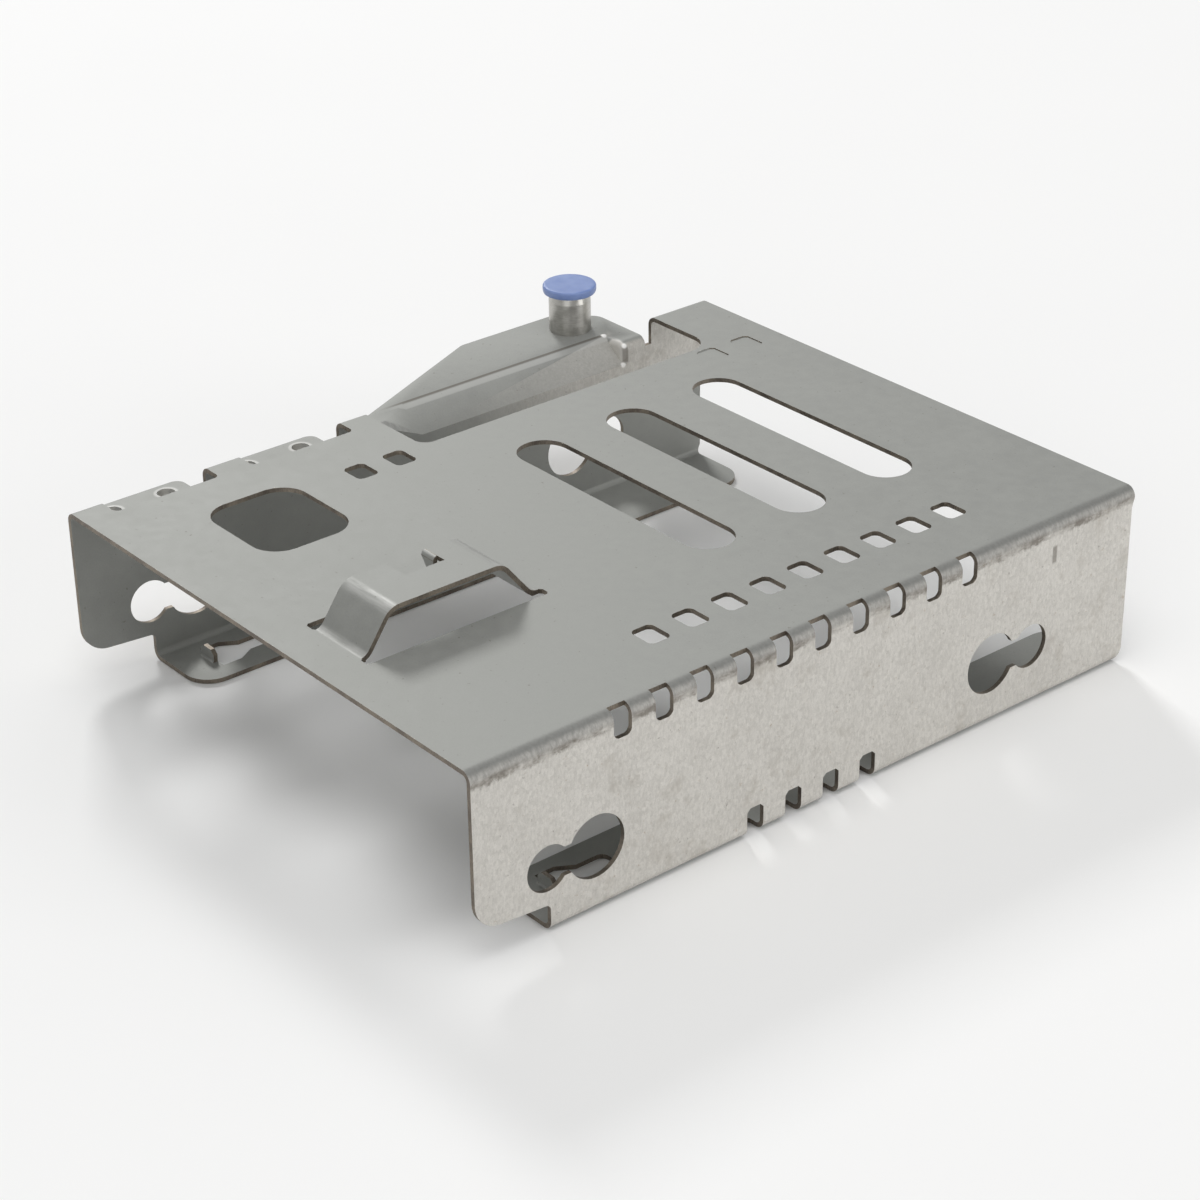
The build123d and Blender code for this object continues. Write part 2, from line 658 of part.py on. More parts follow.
# Knob: flat disc with an upright rim, then a short cone that narrows to the barrel
with BuildPart() as plunger_cap:
    with BuildSketch(PIN_PLANE):
        with BuildLine():
            Polyline(
                (0, STEM_TOP),
                (STEM_RADIUS, STEM_TOP),
                (STEM_RADIUS, KNOB_Z),
                (KNOB_WAIST, KNOB_Z),
                (KNOB_RADIUS, KNOB_TOP - KNOB_EDGE - KNOB_RIM),
                (KNOB_RADIUS, KNOB_TOP - KNOB_EDGE),
                (KNOB_RADIUS - KNOB_EDGE, KNOB_TOP),
                (0, KNOB_TOP),
                close=True,
            )
        make_face()
    revolve(axis=PIN_AXIS)

plunger_cap.part.label = "plunger_cap"

# Spring between the collar and the barrel's rim
SPRING_LOW = COLLAR_TOP + SPRING_WIRE / 2 + SPRING_SEAT
SPRING_RUN = RIM_Z - SPRING_WIRE / 2 - SPRING_SEAT - SPRING_LOW
with BuildPart() as plunger_spring:
    with BuildLine() as coil:
        Helix(
            pitch=SPRING_RUN / SPRING_TURNS,
            height=SPRING_RUN,
            radius=SPRING_RADIUS,
            center=(PIN_X, PIN_Y, SPRING_LOW),
        )
    with BuildSketch(Plane(origin=coil.line @ 0, z_dir=coil.line % 0)):
        RegularPolygon(SPRING_WIRE / 2, SPRING_SIDES)
    sweep(path=coil.line, is_frenet=True)

plunger_spring.part.label = "plunger_spring"

os.makedirs("parts", exist_ok=True)
for piece in (bracket, plunger_sleeve, plunger_pin, plunger_cap, plunger_spring):
    export_step(piece.part, f"parts/{piece.part.label}.step")
    print(piece.part.label, "volume", round(piece.part.volume, 2))
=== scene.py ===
"""Hard drive caddy: a folded zinc-coated sheet with a sprung locking pin, on a pale studio floor."""

import json
import logging
import math
from collections.abc import Callable
from dataclasses import dataclass, field
from enum import Enum
from functools import reduce

import bpy
from mathutils import Matrix, Vector
from mathutils.bvhtree import BVHTree

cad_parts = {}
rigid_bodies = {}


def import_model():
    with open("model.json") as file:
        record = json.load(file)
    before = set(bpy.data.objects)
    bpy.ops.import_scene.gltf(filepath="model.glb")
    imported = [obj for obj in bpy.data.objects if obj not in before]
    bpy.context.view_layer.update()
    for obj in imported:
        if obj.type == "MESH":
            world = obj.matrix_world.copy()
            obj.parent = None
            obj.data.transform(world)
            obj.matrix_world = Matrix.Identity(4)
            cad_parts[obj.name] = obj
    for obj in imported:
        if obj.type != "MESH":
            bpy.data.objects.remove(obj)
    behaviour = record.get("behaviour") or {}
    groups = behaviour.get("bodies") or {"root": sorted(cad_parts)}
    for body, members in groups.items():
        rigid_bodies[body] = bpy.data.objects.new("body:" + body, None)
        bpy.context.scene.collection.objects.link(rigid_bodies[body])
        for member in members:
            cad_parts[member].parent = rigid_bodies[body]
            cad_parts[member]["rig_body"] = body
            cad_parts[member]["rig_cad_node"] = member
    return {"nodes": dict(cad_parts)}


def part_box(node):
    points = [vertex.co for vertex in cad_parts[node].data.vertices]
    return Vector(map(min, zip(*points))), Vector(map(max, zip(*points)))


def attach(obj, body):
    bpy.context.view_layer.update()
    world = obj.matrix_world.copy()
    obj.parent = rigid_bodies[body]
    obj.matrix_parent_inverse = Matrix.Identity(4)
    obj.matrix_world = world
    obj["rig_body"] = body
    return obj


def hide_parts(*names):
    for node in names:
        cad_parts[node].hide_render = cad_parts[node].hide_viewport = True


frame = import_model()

MM = 0.001

# Share of a normal along an axis: a face that looks straight along it, and one that mostly does.
STRAIGHT = 0.99
MOSTLY = 0.9

log = logging.getLogger("caddy")

Triple = tuple[float, float, float]
Colour = tuple[float, float, float]
Stops = tuple[tuple[float, float], ...]


class Slot(Enum):
    """Material slots of the record."""

    ZINC = "zinc_steel"
    KNOB = "blue_plastic"


class Body(Enum):
    """Bodies of the record that the modelled pieces ride on."""

    FRAME = "frame"
    PLUNGER = "plunger"


def only(piece: bpy.types.Object) -> None:
    """Selects one object alone and makes it active.

    Args:
        piece: The object to work on.
    """
    bpy.ops.object.select_all(action="DESELECT")
    piece.select_set(True)
    bpy.context.view_layer.objects.active = piece


def pick_faces(piece: bpy.types.Object, test: Callable[[Vector, Vector], bool]) -> None:
    """Goes to edit mode with only the faces selected that pass a test.

    Args:
        piece: The active object.
        test: Takes a face's centre and normal.
    """
    bpy.ops.object.mode_set(mode="EDIT")
    bpy.ops.mesh.select_mode(type="FACE")
    bpy.ops.mesh.select_all(action="DESELECT")
    bpy.ops.object.mode_set(mode="OBJECT")
    for face in piece.data.polygons:
        face.select = test(face.center, face.normal)
    bpy.ops.object.mode_set(mode="EDIT")


def pick_edges(piece: bpy.types.Object, test: Callable[[Vector], bool]) -> None:
    """Goes to edit mode with only the edges selected whose two ends pass a test.

    Args:
        piece: The active object.
        test: Takes the place of an edge's end.
    """
    bpy.ops.object.mode_set(mode="EDIT")
    bpy.ops.mesh.select_mode(type="EDGE")
    bpy.ops.mesh.select_all(action="DESELECT")
    bpy.ops.object.mode_set(mode="OBJECT")
    passed = [test(vertex.co) for vertex in piece.data.vertices]
    for edge in piece.data.edges:
        edge.select = all(passed[v] for v in edge.vertices)
    bpy.ops.object.mode_set(mode="EDIT")


def pick_ring(piece: bpy.types.Object, height: float, radius: float, centre: Vector) -> None:
    """Goes to edit mode with only one ring of edges selected.

    Args:
        piece: The active object.
        height: The ring's z.
        radius: The ring's radius.
        centre: A point on the ring's upright axis.
    """
    near = 0.01 * MM
    pick_edges(
        piece,
        lambda place: abs(place.z - height) < near
        and abs((place - centre).to_2d().length - radius) < near,
    )


def merge_flat_faces(slivers: bool) -> None:
    """Welds the active mesh's double points and makes one face of what lies in one plane.

    Args:
        slivers: Whether faces and edges without size are dissolved in between.
    """
    weld, bend = 0.002 * MM, math.radians(0.6)
    bpy.ops.object.mode_set(mode="EDIT")
    bpy.ops.mesh.select_all(action="SELECT")
    bpy.ops.mesh.remove_doubles(threshold=weld)
    if slivers:
        bpy.ops.mesh.select_all(action="SELECT")
        bpy.ops.mesh.dissolve_degenerate(threshold=weld)
    bpy.ops.mesh.select_all(action="SELECT")
    bpy.ops.mesh.dissolve_limited(angle_limit=bend)
    bpy.ops.object.mode_set(mode="OBJECT")


class Weave:
    """Node tree of one finish, laid out on Object coordinates in metres."""

    def __init__(self, name: str) -> None:
        """Starts an empty tree with a Principled shader.

        Args:
            name: Name of the material.
        """
        self.material = bpy.data.materials.new(name)
        self.material.use_nodes = True
        self.tree = self.material.node_tree
        self.tree.nodes.clear()
        self.output = self.add("ShaderNodeOutputMaterial")
        self.shader = self.add("ShaderNodeBsdfPrincipled")
        self.join(self.shader.outputs[0], self.output.inputs["Surface"])
        self.coordinates = self.add("ShaderNodeTexCoord")

    def add(self, kind: str, **settings: object) -> bpy.types.Node:
        """Adds a node.

        Args:
            kind: Blender's type name of the node.
            **settings: Properties to set on it.

        Returns:
            The new node.
        """
        node = self.tree.nodes.new(kind)
        for key, value in settings.items():
            setattr(node, key, value)
        return node

    def join(self, source: bpy.types.NodeSocket, target: bpy.types.NodeSocket) -> None:
        """Links two sockets."""
        self.tree.links.new(source, target)

    def feed(self, socket: bpy.types.NodeSocket, value: object) -> None:
        """Gives a socket a link or a fixed value.

        Args:
            socket: The input to fill.
            value: An output socket, or the number or colour to set.
        """
        if isinstance(value, bpy.types.NodeSocket):
            self.join(value, socket)
        else:
            socket.default_value = value

    def mapped(self, stretch: Triple, shift: Triple) -> bpy.types.NodeSocket:
        """Place of the surface, drawn out along each axis and shifted.

        Args:
            stretch: How many times longer a pattern's features get along each axis.
            shift: Offset of the pattern, in metres.

        Returns:
            The place, for a pattern's input.
        """
        mapping = self.add("ShaderNodeMapping")
        mapping.inputs["Scale"].default_value = tuple(1.0 / s for s in stretch)
        mapping.inputs["Location"].default_value = shift
        self.join(self.coordinates.outputs["Object"], mapping.inputs["Vector"])
        return mapping.outputs[0]

    def noise(
        self,
        size: float,
        detail: float = 3.0,
        rough: float = 0.6,
        stretch: Triple = (1.0, 1.0, 1.0),
        shift: Triple = (0.0, 0.0, 0.0),
    ) -> bpy.types.NodeSocket:
        """Cloudy pattern with features of a given size.

        Args:
            size: Feature size in metres.
            detail: Octaves of finer detail.
            rough: Weight of the finer octaves.
            stretch: How many times longer the features are along each axis.
            shift: Offset of the pattern, in metres.

        Returns:
            The pattern's value, about 0.5 in the mean.
        """
        pattern = self.add("ShaderNodeTexNoise")
        pattern.inputs["Scale"].default_value = 1.0 / size
        pattern.inputs["Detail"].default_value = detail
        pattern.inputs["Roughness"].default_value = rough
        self.join(self.mapped(stretch, shift), pattern.inputs["Vector"])
        return pattern.outputs["Fac"]

    def cells(self, size: float, stretch: Triple) -> bpy.types.NodeSocket:
        """One random grey for each crystal of a given size.

        Args:
            size: Size of a crystal in metres.
            stretch: How many times longer the crystals are along each axis.

        Returns:
            The random grey.
        """
        pattern = self.add("ShaderNodeTexVoronoi")
        pattern.inputs["Scale"].default_value = 1.0 / size
        self.join(self.mapped(stretch, (0.0, 0.0, 0.0)), pattern.inputs["Vector"])
        grey = self.add("ShaderNodeSeparateColor")
        self.join(pattern.outputs["Color"], grey.inputs[0])
        return grey.outputs[0]

    def axis(self, output: str, index: int) -> bpy.types.NodeSocket:
        """One axis of the surface's place or normal.

        Args:
            output: "Object" for the place, "Normal" for the normal.
            index: 0, 1 or 2 for x, y or z.

        Returns:
            That axis as a value.
        """
        split = self.add("ShaderNodeSeparateXYZ")
        self.join(self.coordinates.outputs[output], split.inputs[0])
        return split.outputs[index]

    def away(self, point: Triple) -> bpy.types.NodeSocket:
        """Distance of the surface from a point, in metres."""
        node = self.add("ShaderNodeVectorMath", operation="DISTANCE")
        self.join(self.coordinates.outputs["Object"], node.inputs[0])
        node.inputs[1].default_value = point
        return node.outputs["Value"]

    def curve(self, source: bpy.types.NodeSocket, stops: Stops) -> bpy.types.NodeSocket:
        """Maps a value through straight runs between stops.

        Args:
            source: The value to map.
            stops: Pairs of input and output, the inputs between 0 and 1.

        Returns:
            The mapped value.
        """
        ramp = self.add("ShaderNodeValToRGB")
        band = ramp.color_ramp
        while len(band.elements) < len(stops):
            band.elements.new(0.5)
        for element, (at, level) in zip(band.elements, stops):
            element.position = at
            element.color = (level, level, level, 1.0)
        self.join(source, ramp.inputs[0])
        return ramp.outputs[0]

    def sum(self, operation: str, *terms: object) -> bpy.types.NodeSocket:
        """Arithmetic on one, two or three values.

        Args:
            operation: Blender's name of the operation.
            *terms: Its sockets or numbers, in order.

        Returns:
            The result.
        """
        node = self.add("ShaderNodeMath", operation=operation)
        for socket, term in zip(node.inputs, terms):
            self.feed(socket, term)
        return node.outputs[0]

    def times(self, *terms: object) -> bpy.types.NodeSocket:
        """Product of two values or more."""
        return reduce(lambda first, second: self.sum("MULTIPLY", first, second), terms)

    def most(self, *terms: object) -> bpy.types.NodeSocket:
        """Largest of two values or more."""
        return reduce(lambda first, second: self.sum("MAXIMUM", first, second), terms)

    def weigh(self, *parts: tuple[bpy.types.NodeSocket, float]) -> bpy.types.NodeSocket:
        """Weighted sum of patterns.

        Args:
            *parts: Pairs of a pattern and its weight.

        Returns:
            The sum.
        """
        shares = (self.sum("MULTIPLY", *part) for part in parts)
        return reduce(lambda first, second: self.sum("ADD", first, second), shares)

    def span(self, value: bpy.types.NodeSocket, low: float, high: float) -> bpy.types.NodeSocket:
        """Runs smoothly from 0 to 1 as a value goes from low to high."""
        node = self.add("ShaderNodeMapRange", interpolation_type="SMOOTHSTEP")
        self.join(value, node.inputs["Value"])
        node.inputs["From Min"].default_value = low
        node.inputs["From Max"].default_value = high
        return node.outputs[0]

    def blend(self, share: object, first: object, second: object) -> bpy.types.NodeSocket:
        """Mixes two colours.

        Args:
            share: Share of the second colour, a socket or a number.
            first: A colour or a socket.
            second: A colour or a socket.

        Returns:
            The mixed colour.
        """
        node = self.add("ShaderNodeMix", data_type="RGBA")
        self.feed(node.inputs[0], share)
        for socket, value in ((node.inputs[6], first), (node.inputs[7], second)):
            self.feed(socket, value if isinstance(value, bpy.types.NodeSocket) else (*value, 1.0))
        return node.outputs[2]

    def relief(self, height: bpy.types.NodeSocket, depth: float, strength: float = 1.0) -> None:
        """Roughens the surface.

        Args:
            height: The pattern to raise.
            depth: Its height in metres.
            strength: Share of the effect.
        """
        bump = self.add("ShaderNodeBump")
        bump.inputs["Strength"].default_value = strength
        bump.inputs["Distance"].default_value = depth
        self.join(height, bump.inputs["Height"])
        self.join(bump.outputs[0], self.shader.inputs["Normal"])


@dataclass(frozen=True)
class ZincFinish:
    """Matt zinc coat on cold-rolled sheet: fine grain, faint clouds, pits and a rubbed band under the
    top right fold, with painted light and shade: lighter walls, sheen on slanted faces, shade under
    that fold, and shade lines, highlights and glints at the wing's bevel.
    """

    light: Colour = (0.352, 0.357, 0.337)
    dark: Colour = (0.300, 0.304, 0.288)
    # Walls' tones: the zinc painted lighter, as if lit by the side light.
    lit_wall_light: Colour = (0.700, 0.680, 0.640)
    lit_wall_dark: Colour = (0.500, 0.482, 0.448)
    # Painted highlight grey: sheen on slanted faces, a band by the bevel's upper bend and rings round
    # the tab holes.
    bright: Colour = (0.56, 0.56, 0.54)
    # Near white of the painted glints at the closed end's corners.
    glint_white: Colour = (0.90, 0.89, 0.87)
    # Grey of the painted shade under the top right fold.
    bend_shade_grey: Colour = (0.215, 0.215, 0.205)
    # Dark brown of real stains and pits, also used for painted shade lines at the wing's bevel.
    stain_and_shade: Colour = (0.120, 0.100, 0.078)
    smudge: Colour = (0.430, 0.400, 0.355)
    rust: Colour = (0.330, 0.220, 0.120)
    grain: float = 0.30 * MM
    crystal: float = 0.55 * MM
    patch: float = 2.2 * MM
    cloud: float = 9.0 * MM
    relief: float = 0.006 * MM
    metallic: float = 0.6
    roughness: float = 0.60
    fold_polish: float = 0.14
    left_wall: float = -45.2 * MM
    crease_x: float = -50.2 * MM
    crease_start: float = 0.5 * MM
    crease_end: float = 50.0 * MM
    hole_x: float = -48.8 * MM
    hole_ys: tuple[float, ...] = (-59.1 * MM, -48.5 * MM, -32.0 * MM, -20.8 * MM)
    hole_radius: float = 1.6 * MM
    bevel_end: Triple = (-46.3 * MM, 49.4 * MM, 27.3 * MM)
    bevel_end_radius: float = 2.8 * MM
    # Corners of the bevel's closed end, where the painted glints go.
    glint_points: tuple[Triple, ...] = (
        (-50.2 * MM, 49.7 * MM, 29.0 * MM),
        (-44.85 * MM, 50.3 * MM, 28.45 * MM),
        (-44.4 * MM, 49.7 * MM, 24.8 * MM),
    )
    glint_radius: float = 0.75 * MM

    def tone(self, m: Weave) -> tuple[bpy.types.NodeSocket, bpy.types.NodeSocket]:
        """Grain of the flat faces and the coarser fleck of the walls' outer faces.

        Args:
            m: The finish's tree.

        Returns:
            The grain and the fleck, both from 0 to 1.
        """
        speck = m.noise(self.grain, 4.0, 0.75)
        cloud = m.noise(self.cloud, 3.0, 0.55)
        patch = m.noise(self.patch, 2.0, 0.5)
        upright = m.noise(0.42 * MM, 3.0, 0.7, stretch=(1.0, 1.0, 2.6))
        crystal = m.cells(self.crystal, stretch=(1.0, 1.0, 1.3))
        grain = m.weigh((speck, 0.5), (patch, 0.27), (cloud, 0.23))
        fleck = m.weigh((speck, 0.42), (upright, 0.32), (crystal, 0.10), (cloud, 0.16))
        return m.span(grain, 0.34, 0.66), m.span(fleck, 0.30, 0.70)

    def walls(self, m: Weave, fleck: bpy.types.NodeSocket) -> bpy.types.NodeSocket:
        """Colour of the walls, painted about twice as light as the plate as if lit from the side:
        flecked, smudged and with a few specks of rust.

        Args:
            m: The finish's tree.
            fleck: The walls' fleck.

        Returns:
            The colour.
        """
        sides = m.blend(fleck, self.lit_wall_dark, self.lit_wall_light)
        smudges = m.noise(7.0 * MM, 4.0, 0.7, shift=(0.1, 0.2, 0.7))
        sides = m.blend(m.curve(smudges, ((0.56, 0.0), (0.72, 0.6))), sides, self.smudge)
        specks = m.noise(1.0 * MM, 3.0, 0.7, shift=(0.5, 0.3, 0.1))
        return m.blend(m.curve(specks, ((0.66, 0.0), (0.76, 0.55))), sides, self.rust)

    def upright(self, m: Weave, right: float) -> bpy.types.NodeSocket:
        """Where the walls' painted lighter colour lies: both outer faces, and inside the left wall by
        the wing as a painted pool of light.

        Args:
            m: The finish's tree.
            right: Outer face of the right wall.

        Returns:
            The share of the walls' colour, from 0 to 1.
        """
        x, y, z = (m.axis("Object", i) for i in range(3))
        nx = m.axis("Normal", 0)
        right_face = m.span(x, right - 1.5 * MM, right - 0.3 * MM)
        left_face = m.span(x, self.left_wall + 0.65 * MM, self.left_wall + 0.25 * MM)
        level = m.span(m.sum("ABSOLUTE", nx), 0.55, 0.95)
        # Painted light on the left wall's inner face by the wing.
        lit_inner = m.times(
            m.span(x, self.left_wall + 1.6 * MM, self.left_wall + 1.1 * MM),
            m.span(y, 0.0, 48.0 * MM),
            m.span(z, 15.0 * MM, 23.0 * MM),
            m.span(nx, 0.35, 0.80),
        )
        return m.most(lit_inner, m.times(m.most(right_face, left_face), level))

    def folds(self, m: Weave) -> bpy.types.NodeSocket:
        """Painted sheen: a lighter streaky colour on the slanted faces that run across the sheet,
        chosen by their normal.

        Args:
            m: The finish's tree.

        Returns:
            The sheen's strength, from 0 to 1.
        """
        ny = m.sum("ABSOLUTE", m.axis("Normal", 1))
        along = m.curve(ny, ((0.06, 0.0), (0.2, 1.0), (0.6, 1.0), (0.74, 0.0)))
        streak = m.noise(0.6 * MM, 3.0, 0.6, stretch=(9.0, 1.0, 1.0))
        return m.times(along, m.curve(streak, ((0.35, 0.05), (0.65, 0.5))))

    def rub(self, m: Weave, top: float, right: float) -> bpy.types.NodeSocket:
        """Dark irregular band that rubbing leaves just under the top right fold.

        Args:
            m: The finish's tree.
            top: Height of the plate.
            right: Outer face of the right wall.

        Returns:
            The band's strength, from 0 to 1.
        """
        x, z = m.axis("Object", 0), m.axis("Object", 2)
        lowest, wave, soft = top - 4.0 * MM, 2.4 * MM, 0.5 * MM
        ragged = m.noise(1.6 * MM, 4.0, 0.75, shift=(0.0, 0.4, 0.0))
        edge = m.sum("MULTIPLY_ADD", ragged, wave, lowest)
        depth = m.sum("DIVIDE", m.sum("SUBTRACT", z, edge), soft)
        low = m.span(depth, -0.6, 0.8)
        high = m.span(z, top - 1.0 * MM, top - 1.9 * MM)
        near = m.span(x, right - 0.9 * MM, right - 0.3 * MM)
        worn = m.noise(3.0 * MM, 4.0, 0.75, stretch=(1.0, 2.0, 1.0))
        return m.times(low, high, near, m.curve(worn, ((0.38, 0.12), (0.60, 0.9))))

    def bend_shade(self, m: Weave, top: float, right: float) -> bpy.types.NodeSocket:
        """Painted shade: a darker streaked band just under the top right fold.

        Args:
            m: The finish's tree.
            top: Height of the plate.
            right: Outer face of the right wall.

        Returns:
            The shade's strength, from 0 to 1.
        """
        x, z = m.axis("Object", 0), m.axis("Object", 2)
        near = m.span(x, right - 2.4 * MM, right - 0.9 * MM)
        below = m.span(z, top - 2.3 * MM, top - 1.2 * MM)
        streak = m.noise(0.5 * MM, 3.0, 0.6, stretch=(1.0, 1.0, 6.0))
        return m.times(near, below, m.curve(streak, ((0.3, 0.5), (0.7, 1.0))))

    def crease_shading(self, m: Weave, start: float, end: float) -> bpy.types.NodeSocket:
        """Narrow band beside the upper bend line of the wing's bevel, for a painted shade line and a
        painted highlight band.

        Args:
            m: The finish's tree.
            start: Where the band starts, in metres to the right of the bend line.
            end: Where it ends.

        Returns:
            The band's strength, from 0 to 1.
        """
        x, y, z = (m.axis("Object", i) for i in range(3))
        soft, fade = 0.25 * MM, 4.0 * MM
        return m.times(
            m.span(x, self.crease_x + start - soft, self.crease_x + start),
            m.span(x, self.crease_x + end + soft, self.crease_x + end),
            m.span(y, self.crease_start - fade, self.crease_start + fade),
            m.span(y, self.crease_end + soft, self.crease_end - 2.0 * soft),
            m.span(z, 22.0 * MM, 24.0 * MM),
        )

    def corner_glints(self, m: Weave) -> bpy.types.NodeSocket:
        """Painted highlights: small near-white points at the rounded corners of the bevel's closed
        end.

        Args:
            m: The finish's tree.

        Returns:
            The points' strength, from 0 to 1.
        """
        outside, inside = self.glint_radius, 0.45 * self.glint_radius
        return m.most(*(m.span(m.away(place), outside, inside) for place in self.glint_points))

    def corner_shade_line(self, m: Weave) -> bpy.types.NodeSocket:
        """Painted shade: dark upright line along the rounded corner between two of the glint points
        on the wall.

        Args:
            m: The finish's tree.

        Returns:
            The line's strength, from 0 to 1.
        """
        _, (x, y, high), (_, _, low) = self.glint_points
        z = m.axis("Object", 2)
        soft = 0.6 * MM
        off = m.sum("ABSOLUTE", m.sum("SUBTRACT", m.axis("Object", 1), y + 0.1 * MM))
        return m.times(
            m.span(off, 0.65 * MM, 0.35 * MM),
            m.span(m.axis("Object", 0), x - 2.0 * soft, x - soft),
            m.span(z, low, low + soft),
            m.span(z, high, high - soft),
        )

    def closed_end_light(self, m: Weave) -> bpy.types.NodeSocket:
        """Painted light on the face of the bevel's closed end, which would otherwise render dark.

        Args:
            m: The finish's tree.

        Returns:
            The lightness, from 0 to 1.
        """
        near = m.span(m.away(self.bevel_end), self.bevel_end_radius, self.bevel_end_radius - 0.6 * MM)
        return m.times(near, m.span(m.sum("ABSOLUTE", m.axis("Normal", 1)), 0.25, 0.5))

    def hole_highlights(self, m: Weave) -> bpy.types.NodeSocket:
        """Painted highlight rings round the pierced holes of the tabs.

        Args:
            m: The finish's tree.

        Returns:
            The rings' strength, from 0 to 1.
        """
        outside, inside = self.hole_radius + 0.75 * MM, self.hole_radius + 0.35 * MM
        hole_rings = []
        for hole_y in self.hole_ys:
            dx = m.sum("SUBTRACT", m.axis("Object", 0), self.hole_x)
            dy = m.sum("SUBTRACT", m.axis("Object", 1), hole_y)
            away = m.sum("SQRT", m.sum("ADD", m.times(dx, dx), m.times(dy, dy)))
            hole_rings.append(m.span(away, outside, inside))
        return m.most(*hole_rings)

    def pits(self, m: Weave) -> bpy.types.NodeSocket:
        """Small dark pits in the coat."""
        pattern = m.noise(0.8 * MM, 2.0, 0.5, shift=(0.3, 0.1, 0.2))
        return m.curve(pattern, ((0.70, 0.0), (0.77, 0.4)))

    def make(self, top: float, right: float) -> bpy.types.Material:
        """Builds the material.

        Args:
            top: Height of the plate.
            right: Outer face of the right wall.

        Returns:
            The material.
        """
        m = Weave("zinc_sheet")
        grain, fleck = self.tone(m)
        fold = self.folds(m)
        plain = m.blend(grain, self.dark, self.light)
        # The walls take the painted lighter tone.
        base = m.blend(self.upright(m, right), plain, self.walls(m, fleck))
        layers = (
            # Painted sheen on the slanted faces; the same mask lowers the roughness below.
            (fold, 1.0, self.bright),
            # Painted shade under the top right fold.
            (self.bend_shade(m, top, right), 0.75, self.bend_shade_grey),
            (self.rub(m, top, right), 0.8, self.stain_and_shade),
            # Painted shade line, then a painted highlight band, along the bevel's upper bend.
            (self.crease_shading(m, -0.35 * MM, 0.0), 0.65, self.stain_and_shade),
            (self.crease_shading(m, 0.35 * MM, 1.0 * MM), 0.5, self.bright),
            # Painted highlight rings round the tab holes.
            (self.hole_highlights(m), 0.7, self.bright),
            # Painted light on the bevel's closed end, in the walls' painted lighter tone.
            (self.closed_end_light(m), 0.9, self.lit_wall_light),
            # Painted shade line along the closed end's corner.
            (self.corner_shade_line(m), 0.55, self.stain_and_shade),
            # Painted glints at the closed end's corners.
            (self.corner_glints(m), 1.0, self.glint_white),
            (self.pits(m), 1.0, self.stain_and_shade),
        )
        for mask, share, colour in layers:
            base = m.blend(m.times(mask, share), base, colour)
        m.join(base, m.shader.inputs["Base Color"])
        m.shader.inputs["Metallic"].default_value = self.metallic
        rough = m.sum("MULTIPLY_ADD", grain, 0.10, self.roughness)
        rough = m.sum("SUBTRACT", rough, m.times(fold, self.fold_polish))
        m.join(rough, m.shader.inputs["Roughness"])
        m.relief(m.sum("ADD", grain, fleck), self.relief, 0.5)
        return m.material


@dataclass(frozen=True)
class CutEdgeFinish:
    """Sheared face of the sheet: bare, matt and slightly browned, with fine shear lines, and darkened
    further as painted shade.
    """

    bright: Colour = (0.270, 0.235, 0.190)
    brown: Colour = (0.135, 0.115, 0.095)

    def make(self) -> bpy.types.Material:
        """Builds the material.

        Returns:
            The material.
        """
        m = Weave("cut_edge")
        shear = m.noise(0.22 * MM, 2.0, 0.6, stretch=(1.0, 1.0, 3.0))
        patch = m.noise(4.0 * MM, 3.0, 0.6)
        tone = m.span(m.weigh((shear, 0.35), (patch, 0.65)), 0.36, 0.64)
        m.join(m.blend(tone, self.brown, self.bright), m.shader.inputs["Base Color"])
        m.shader.inputs["Metallic"].default_value = 0.8
        m.join(m.curve(patch, ((0.3, 0.42), (0.7, 0.6))), m.shader.inputs["Roughness"])
        m.relief(shear, 0.012 * MM, 0.5)
        return m.material


@dataclass(frozen=True)
class RimFinish:
    """Rolled rim between a coated face and a sheared one: thin, tan and a little polished."""

    tan: Colour = (0.60, 0.50, 0.37)
    grey: Colour = (0.50, 0.47, 0.42)

    def make(self) -> bpy.types.Material:
        """Builds the material.

        Returns:
            The material.
        """
        m = Weave("cut_rim")
        patch = m.noise(5.0 * MM, 3.0, 0.6)
        tone = m.span(patch, 0.40, 0.60)
        m.join(m.blend(tone, self.grey, self.tan), m.shader.inputs["Base Color"])
        m.shader.inputs["Metallic"].default_value = 0.85
        m.join(m.curve(patch, ((0.3, 0.30), (0.7, 0.45))), m.shader.inputs["Roughness"])
        return m.material


@dataclass(frozen=True)
class TurnedFinish:
    """Turned steel of the pin's parts, with fine rings around the axis."""

    name: str
    light: Colour
    dark: Colour
    roughness: float
    ring: float = 0.10 * MM

    def make(self) -> bpy.types.Material:
        """Builds the material.

        Returns:
            The material.
        """
        m = Weave(self.name)
        rings = m.noise(self.ring, 2.0, 0.6, stretch=(18.0, 18.0, 1.0))
        haze = m.noise(1.6 * MM, 3.0, 0.6)
        tone = m.span(m.weigh((rings, 0.5), (haze, 0.5)), 0.35, 0.65)
        m.join(m.blend(tone, self.dark, self.light), m.shader.inputs["Base Color"])
        m.shader.inputs["Metallic"].default_value = 1.0
        low, high = self.roughness - 0.05, self.roughness + 0.08
        m.join(m.curve(haze, ((0.3, low), (0.7, high))), m.shader.inputs["Roughness"])
        m.relief(rings, 0.004 * MM, 0.3)
        return m.material


